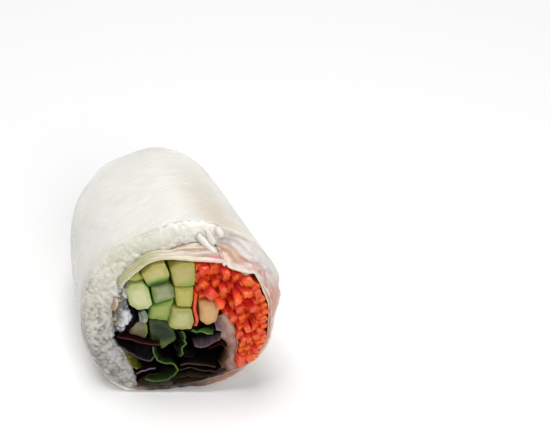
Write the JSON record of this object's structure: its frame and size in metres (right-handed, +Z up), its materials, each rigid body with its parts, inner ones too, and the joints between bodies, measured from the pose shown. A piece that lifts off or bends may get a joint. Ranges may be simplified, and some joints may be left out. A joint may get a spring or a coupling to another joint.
{
  "type": "rice paper roll half",
  "caption": "Half of a fresh rice paper roll, cut at a slant to show rice noodles, cucumber batons, shredded carrot and dark lettuce.",
  "frame": {"origin": "under the middle of the roll's bounding box, on the surface that it lies on", "axes": "+Z up, +Y along the roll towards its closed end, so the cut end faces -Y, +X to the carrot side"},
  "size_m": [0.0478, 0.0696, 0.0463],
  "materials": {
    "rice_paper": "soft wet sheen, translucent",
    "noodles": "moist, translucent white",
    "cucumber": "moist cut flesh",
    "carrot": "moist, fibrous",
    "lettuce": "waxy leaf"
  },
  "bodies": {
    "root": {"rice_paper": "rice_paper", "noodles": "noodles", "noodle_clump": "noodles", "cucumber_1": "cucumber", "cucumber_2": "cucumber", "cucumber_3": "cucumber", "cucumber_4": "cucumber", "cucumber_5": "cucumber", "cucumber_6": "cucumber", "cucumber_7": "cucumber", "cucumber_8": "cucumber", "cucumber_9": "cucumber", "cucumber_10": "cucumber", "cucumber_11": "cucumber", "carrot_shreds": "carrot", "carrot_lone_shred": "carrot", "lettuce": "lettuce"}
  },
  "joints": []
}
